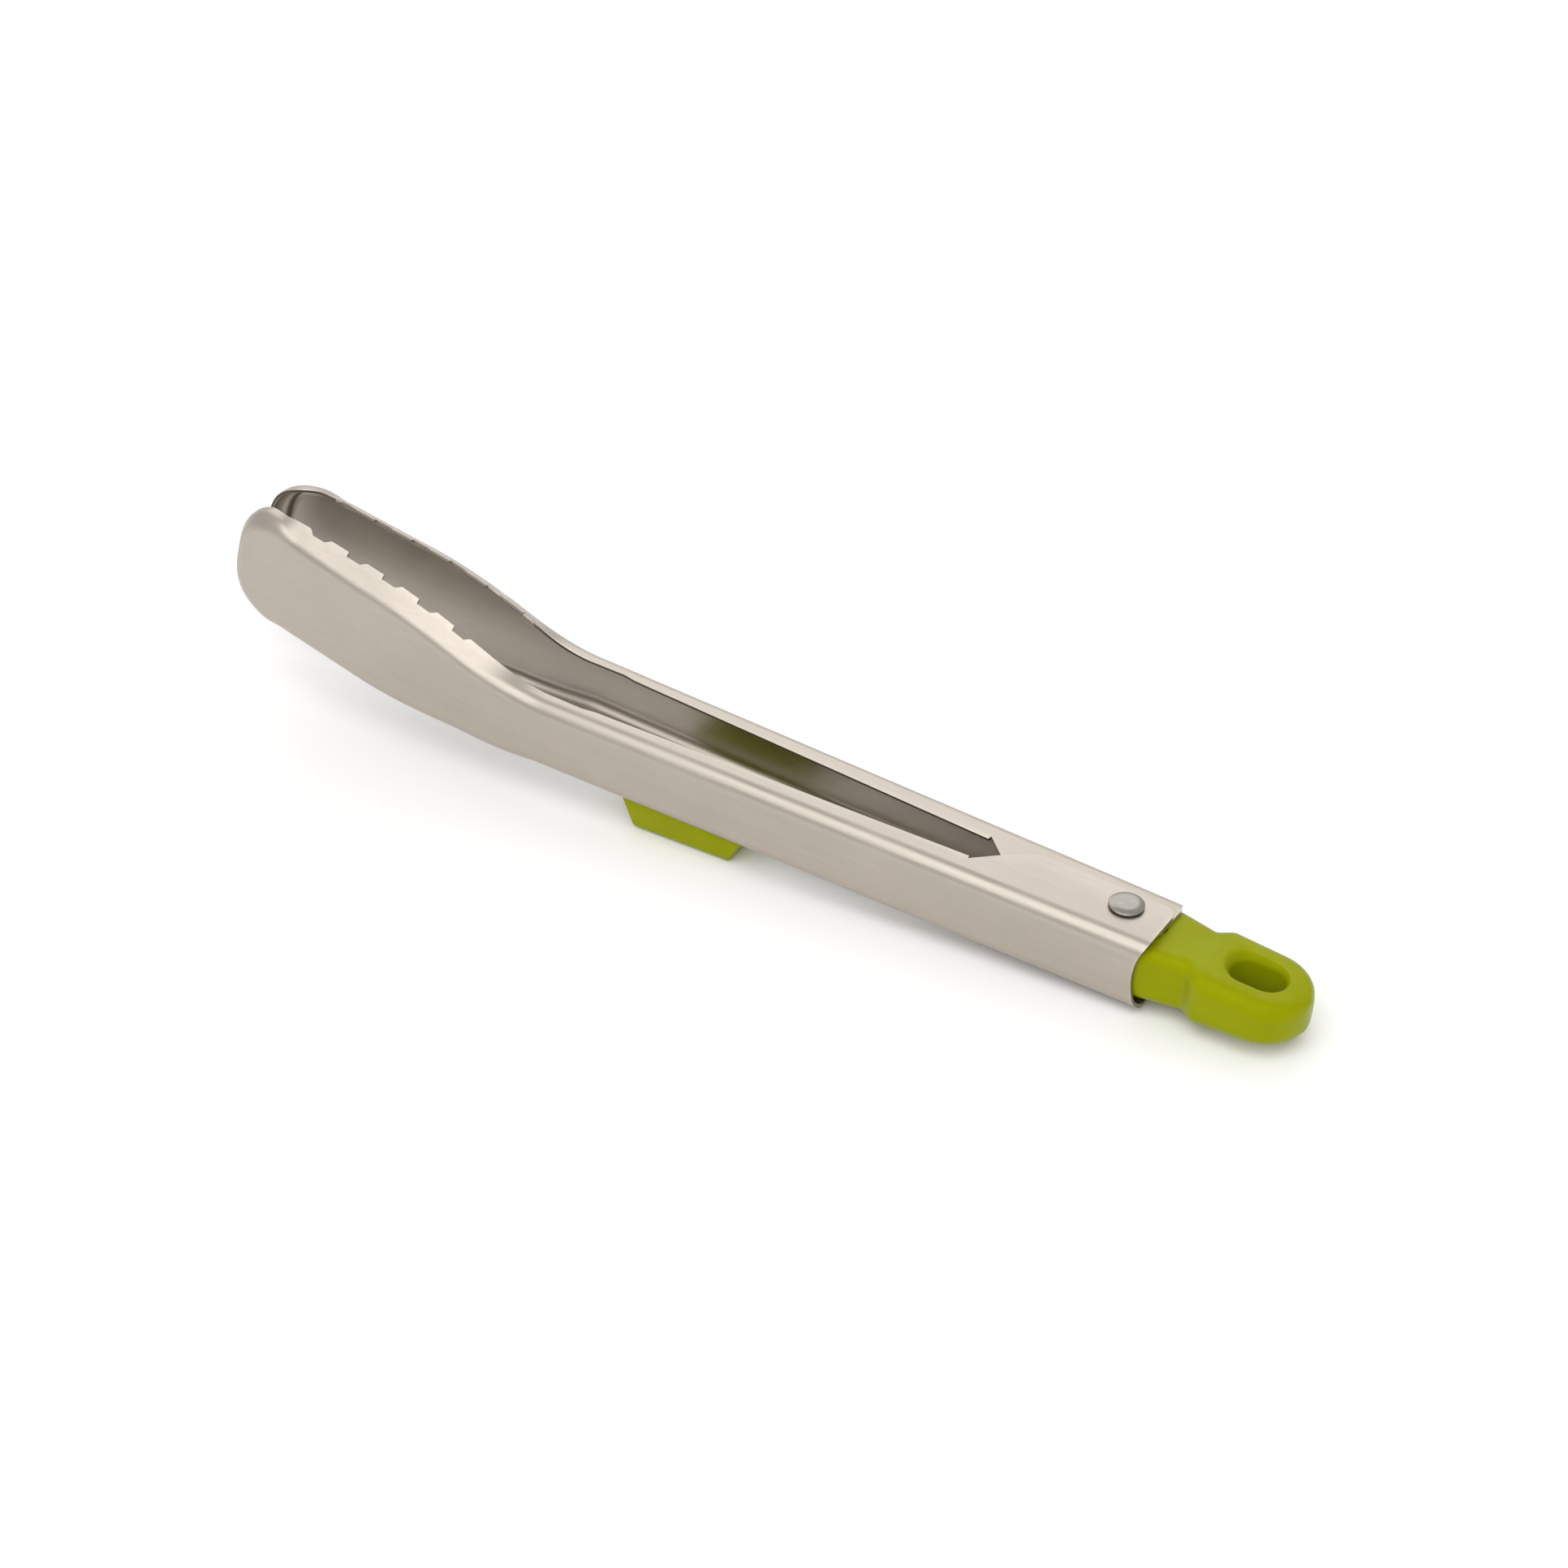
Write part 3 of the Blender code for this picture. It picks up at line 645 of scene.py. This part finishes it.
def pull_object():
    """The moulded pull: fork, neck and loop, with soft edges."""
    stations = [PULL_FRONT, -6.0, 0.0, PULL_WALL_FRONT, 4.0, 8.0, 9.6]
    stations += [MOUTH + 0.9 * k for k in range(14)]
    stations += [WAIST + 0.3 * k for k in range(1, 22)]
    stations += [29.6, 31.0, 33.0, 35.0, 37.0, 39.0, 41.0]
    rings = [rounded_section(x, pull_width(x), pull_height(x), pull_radius(x)) for x in sorted(set(stations))]
    for i in range(LOOP_END_RINGS):
        part = i / LOOP_END_RINGS
        angle = 0.5 * math.pi * i / LOOP_END_RINGS
        shrink = LOOP_END_EDGE * (1.0 - math.sqrt(1.0 - part**LOOP_END_POWER))
        x = LOOP_CENTRE + LOOP_RADIUS * math.sin(angle)
        half_width = LOOP_RADIUS * math.cos(angle)
        rings.append(rounded_section(x, half_width, pull_height(x) - shrink, pull_radius(x)))
    pull = loft("pull_body", rings, GREEN, 50.0)
    front = PULL_FRONT - 1.0

    def box(name, low, high):
        """A cutter between two opposite corners."""
        corners = [(low[1], low[2]), (high[1], low[2]), (high[1], high[2]), (low[1], high[2])]
        return loft(name, [[(x, y, z) for y, z in corners] for x in (low[0], high[0])], GREEN)

    def stadium(half_length, half_width, steps_round=32):
        """An outline with straight sides and round ends."""
        straight = half_length - half_width
        points = []
        for end, start in ((1.0, -0.5 * math.pi), (-1.0, 0.5 * math.pi)):
            for j in range(steps_round + 1):
                angle = start + math.pi * j / steps_round
                points.append((end * straight + half_width * math.cos(angle), half_width * math.sin(angle)))
        return points

    levels = [(-z, extra) for z, extra in reversed(HOLE_FLARE)] + list(HOLE_FLARE)
    hole = [
        [(HOLE_CENTRE + x, y, z) for x, y in stadium(HANG_HOLE[0] + extra, HANG_HOLE[1] + extra)]
        for z, extra in levels
    ]
    slot = [(front + x, y) for x, y in stadium(SLOT_CENTRE - front + SLOT_HALF_WIDTH, SLOT_HALF_WIDTH)]
    cavity_low = (front, -CAVITY_HALF_WIDTH, -CAVITY_HALF_HEIGHT)
    cavity_high = (CAVITY_END, CAVITY_HALF_WIDTH, CAVITY_HALF_HEIGHT)
    cut(pull, [
        box("cavity", cavity_low, cavity_high),
        box("trim_near", (front, -FAR_OUT, -FAR_OUT), (PULL_WALL_FRONT, -FORK_HALF_WIDTH, FAR_OUT)),
        box("trim_far", (front, FORK_HALF_WIDTH, -FAR_OUT), (PULL_WALL_FRONT, FAR_OUT, FAR_OUT)),
        loft("fork_slot", [[(x, y, z) for x, y in slot] for z in (-FAR_OUT, FAR_OUT)], GREEN),
        loft("hang_hole", hole, GREEN),
    ], 42.0)
    return pull


pull = pull_object()
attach(pull, "lock_pull")
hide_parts("lock_pull")


# ---------------------------------------------------------------- tool rest


REST_EDGE = 0.5


def rest_object():
    """The CAD rest with its outer edges rounded."""
    source = frame["nodes"]["tool_rest"]
    mesh = source.data.copy()
    mesh.materials.clear()
    mesh.materials.append(GREEN)
    rest = bpy.data.objects.new("rest_body", mesh)
    rest.matrix_world = source.matrix_world.copy()
    bpy.context.scene.collection.objects.link(rest)
    bm = bmesh.new()
    bm.from_mesh(mesh)
    bmesh.ops.remove_doubles(bm, verts=bm.verts, dist=1e-6)
    bmesh.ops.dissolve_limit(bm, angle_limit=0.01, verts=bm.verts, edges=bm.edges)
    bm.to_mesh(mesh)
    bm.free()
    bevel = rest.modifiers.new("edges", "BEVEL")
    bevel.width = REST_EDGE * MM
    bevel.segments = 3
    bevel.limit_method = "ANGLE"
    bevel.angle_limit = math.radians(35.0)
    apply_modifiers(rest)
    smooth(rest, 50.0)
    return rest


rest = rest_object()
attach(rest, "near_arm")
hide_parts("tool_rest")


# ---------------------------------------------------------------- rivet


WASHER_THICKNESS = 0.6


def rivet_object():
    """The rivet with a rolled rim, a soft cone and a flat crown, and its clinched lower end."""
    seat = HALF_HEIGHT + GAP
    low_seat = -(seat + WASHER_THICKNESS + GAP)
    clinched = ((0.4, -0.6), (3.1, -0.6), (3.35, -0.54), (3.6, -0.3), (3.6, 0.0), (2.5, 0.0))
    rim = ((2.5, 0.0), (4.8, 0.0), (4.93, 0.05), (5.0, 0.17), (5.0, 0.5), (4.97, 0.6), (4.87, 0.68))
    crown = ((4.7, 0.76), (3.6, 1.05), (3.3, 1.11), (3.0, 1.14), (2.4, 1.15), (0.4, 1.15))
    profile = [(radius, low_seat + height) for radius, height in clinched]
    profile += [(radius, seat + height) for radius, height in rim + crown]
    return turned("rivet_body", profile, RIVET_STEEL)


rivet = rivet_object()
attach(rivet, "pivot")
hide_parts("pivot_rivet")


# ---------------------------------------------------------------- materials of the CAD nodes


def dress(node, material):
    for slot in frame["nodes"][node].material_slots:
        slot.material = material


for node, material in (
    ("rivet_washer", RIVET_STEEL),
    ("pivot_bush", NYLON),
    ("spring_coil", SPRING_STEEL),
    ("spring_leg_near", SPRING_STEEL),
    ("spring_leg_far", SPRING_STEEL),
):
    dress(node, material)


# ---------------------------------------------------------------- studio


FLOOR_HALF_WIDTH = 6.0
FLOOR_DROP = 0.2 * MM


def studio_floor():
    """A wide, flat, pale floor just below the tongs."""
    n = Nodes("floor")
    cloud = n.noise((3.0, 3.0, 3.0))
    colour = n.mix(n.ramp(cloud, 0.0, 1.0), (0.93, 0.93, 0.93), (0.95, 0.95, 0.95))
    n.link(colour, n.shader.inputs["Base Color"])
    n.shader.inputs["Roughness"].default_value = 0.9
    mesh = bpy.data.meshes.new("floor")
    half = FLOOR_HALF_WIDTH
    corners = [(-half, -half, 0.0), (half, -half, 0.0), (half, half, 0.0), (-half, half, 0.0)]
    mesh.from_pydata(corners, [], [(0, 1, 2, 3)])
    mesh.materials.append(n.material)
    floor = bpy.data.objects.new("floor", mesh)
    floor.location.z = -FLOOR_DROP
    bpy.context.scene.collection.objects.link(floor)


def area_light(name, location, target, size, power):
    """A rectangular light of a size in metres that faces a target."""
    light = bpy.data.lights.new(name, "AREA")
    light.shape = "RECTANGLE"
    light.size, light.size_y = size
    light.energy = power
    thing = bpy.data.objects.new(name, light)
    thing.location = location
    thing.rotation_mode = "QUATERNION"
    thing.rotation_quaternion = (Vector(target) - Vector(location)).to_track_quat("-Z", "Y")
    bpy.context.scene.collection.objects.link(thing)


def make_world(colour, strength):
    world = bpy.data.worlds.new("studio")
    world.use_nodes = True
    background = world.node_tree.nodes["Background"]
    background.inputs["Color"].default_value = (*colour, 1.0)
    background.inputs["Strength"].default_value = strength
    bpy.context.scene.world = world


studio_floor()
make_world(colour=(1.0, 0.99, 0.975), strength=0.74)
area_light("back_softbox", (-0.75, 1.25, 1.15), (0.0, 0.0, 0.03), size=(1.7, 1.4), power=7.8)
area_light("overhead", (0.2, -0.8, 1.25), (0.0, 0.0, 0.0), size=(1.9, 1.6), power=15.0)
bpy.context.scene.view_settings.view_transform = "Standard"


def make_camera(azimuth, elevation, roll, distance, target, lens):
    """A camera that looks at a target from an azimuth and elevation, in degrees."""
    a = math.radians(azimuth)
    e = math.radians(elevation)
    turn = math.radians(roll)
    back = Vector((math.sin(a) * math.cos(e), -math.cos(a) * math.cos(e), math.sin(e)))
    level = Vector((math.cos(a), math.sin(a), 0.0))
    plumb = back.cross(level)
    right = level * math.cos(turn) + plumb * math.sin(turn)
    up = plumb * math.cos(turn) - level * math.sin(turn)
    data = bpy.data.cameras.new("camera")
    data.lens = lens
    data.sensor_width = 36.0
    camera = bpy.data.objects.new("camera", data)
    axes = Matrix((right, up, back)).transposed().to_4x4()
    camera.matrix_world = Matrix.Translation(Vector(target) + distance * back) @ axes
    bpy.context.scene.collection.objects.link(camera)
    bpy.context.scene.camera = camera


make_camera(
    azimuth=30.2926, elevation=35.929, roll=1.0225, distance=1.1,
    target=(0.025417, -0.026171, 0.045942), lens=93.1,
)
